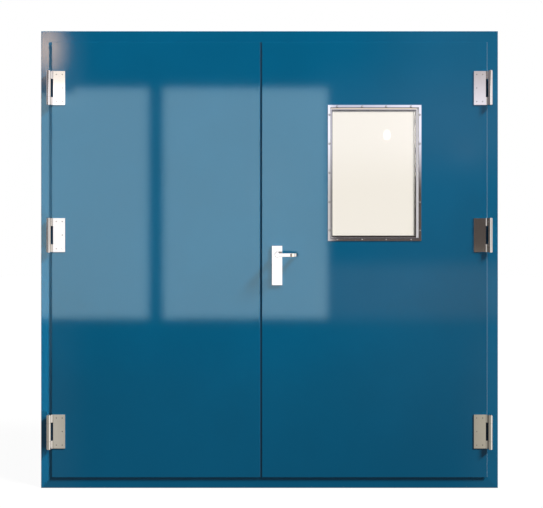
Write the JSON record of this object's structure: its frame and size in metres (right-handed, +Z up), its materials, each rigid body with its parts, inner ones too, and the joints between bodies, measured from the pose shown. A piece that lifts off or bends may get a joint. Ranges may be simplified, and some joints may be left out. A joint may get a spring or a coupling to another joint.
{
  "type": "double door",
  "caption": "Insulated steel double door in a four-sided frame: unequal lapped leaves on barrel hinges, glazed vision panel and sprung lever handle.",
  "frame": {"origin": "on the floor plane under the threshold, at the middle of the frame's width and depth", "axes": "+X along the door to the right seen from the front, +Y from the front to the back, +Z up"},
  "size_m": [2.1, 0.223, 2.1],
  "materials": {
    "door_paint": "gloss powder coat with a fine grain, petrol blue",
    "seal_rubber": "matt black rubber",
    "stainless": "satin stainless steel",
    "bead_stainless": "bright folded stainless sheet",
    "handle_stainless": "satin stainless steel",
    "window_glass": "clear float glass",
    "glazing_spacer": "dark spacer bar"
  },
  "bodies": {
    "frame": {"frame_jamb_left": "door_paint", "frame_jamb_right": "door_paint", "frame_head": "door_paint", "frame_threshold": "door_paint", "frame_seals_left": "seal_rubber", "frame_seals_right": "seal_rubber", "frame_seals_head": "seal_rubber", "frame_seals_threshold": "seal_rubber", "hinge_post_left_bottom": "stainless", "hinge_post_left_middle": "stainless", "hinge_post_left_top": "stainless", "hinge_post_right_bottom": "stainless", "hinge_post_right_middle": "stainless", "hinge_post_right_top": "stainless", "hinge_pins_left": "stainless", "hinge_pins_right": "stainless"},
    "passive_leaf": {"passive_leaf_face": "door_paint", "passive_leaf_core": "door_paint", "passive_leaf_seam_seal": "seal_rubber", "strike_plate": "stainless", "hinge_plate_left_bottom": "stainless", "hinge_plate_left_middle": "stainless", "hinge_plate_left_top": "stainless"},
    "active_leaf": {"active_leaf_face": "door_paint", "active_leaf_core": "door_paint", "lock_faceplate": "stainless", "latch_bolt": "stainless", "handle_plate_front": "handle_stainless", "handle_plate_rear": "handle_stainless", "window_glass_front": "window_glass", "window_glass_rear": "window_glass", "window_spacer": "glazing_spacer", "window_gasket_front": "seal_rubber", "window_gasket_rear": "seal_rubber", "window_bead_front_sides": "bead_stainless", "window_bead_front_rails": "bead_stainless", "window_bead_rear_sides": "bead_stainless", "window_bead_rear_rails": "bead_stainless", "hinge_plate_right_bottom": "stainless", "hinge_plate_right_middle": "stainless", "hinge_plate_right_top": "stainless"},
    "handle": {"handle_lever_front": "handle_stainless", "handle_lever_rear": "handle_stainless", "handle_spindle": "handle_stainless"}
  },
  "joints": [
    {"name": "passive_leaf_swing", "type": "hinge", "parent": "frame", "child": "passive_leaf", "pos_m": [-1.0085, -0.078, 1.05], "axis": [0, 0, -1], "range_deg": [0, 170]},
    {"name": "active_leaf_swing", "type": "hinge", "parent": "frame", "child": "active_leaf", "pos_m": [1.0085, -0.078, 1.05], "axis": [0, 0, 1], "range_deg": [0, 170]},
    {"name": "lever_turn", "type": "hinge", "parent": "active_leaf", "child": "handle", "pos_m": [0.0345, -0.027, 1.076], "axis": [0, 1, 0], "range_deg": [0, 45], "stiffness_Nm_per_rad": 1.5, "springref_deg": -20.05}
  ]
}
